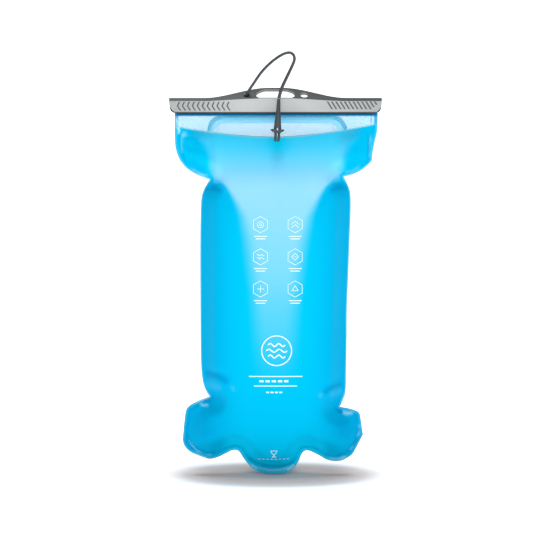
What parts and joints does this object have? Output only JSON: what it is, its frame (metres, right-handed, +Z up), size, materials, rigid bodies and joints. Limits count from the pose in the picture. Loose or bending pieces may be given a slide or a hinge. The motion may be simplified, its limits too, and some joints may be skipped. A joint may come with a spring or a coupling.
{
  "type": "hydration bladder",
  "caption": "Flat film drinking-water reservoir with a slide-on closure bar, a hanging slot and cord, and a quick-connect outlet with a shut-off valve and release button.",
  "frame": {"origin": "on the flat top face of the closure bar's hanging slot, midway along the bar and in the bag's middle plane", "axes": "+X along the closure bar to the right as seen from the front, +Y out of the bag's back, which carries the outlet, +Z up"},
  "size_m": [0.185, 0.0817, 0.3734],
  "materials": {
    "bar": "satin grey moulded plastic",
    "film": "translucent blue film",
    "rail": "smooth",
    "stiffener": "smooth",
    "cord": "satin elastomer",
    "port": "fine texture",
    "accent": "satin",
    "seal": "matt",
    "valve": "natural plastic",
    "steel": "spring steel"
  },
  "bodies": {
    "bar": {"slide_bar": "bar", "hang_cord": "cord", "hang_toggle": "cord", "cord_anchor": "cord"},
    "reservoir": {"front_panel": "film", "back_panel": "film", "front_seal_rail": "rail", "rear_seal_rail": "rail", "mouth_stiffener": "stiffener", "port_flange": "port", "port_gasket": "seal", "port_body": "port", "port_bezel": "accent", "port_oring": "seal", "spring_seat": "valve", "poppet_spring": "steel", "button_spring": "steel"},
    "valve": {"poppet": "valve", "poppet_seal": "seal"},
    "latch": {"latch_plate": "steel", "release_button": "accent"}
  },
  "joints": [
    {"name": "bar_slide", "type": "slide", "parent": "bar", "child": "reservoir", "axis": [1, 0, 0], "range_m": [-0.18, 0.18]},
    {"name": "valve_stroke", "type": "slide", "parent": "reservoir", "child": "valve", "axis": [0, -1, 0], "range_m": [0, 0.004], "stiffness_N_per_m": 250, "springref_m": -0.002, "deforming": ["poppet_spring"]},
    {"name": "latch_press", "type": "slide", "parent": "reservoir", "child": "latch", "axis": [0, 0, -1], "range_m": [0, 0.0014], "stiffness_N_per_m": 600, "springref_m": -0.001, "deforming": ["button_spring"]}
  ]
}
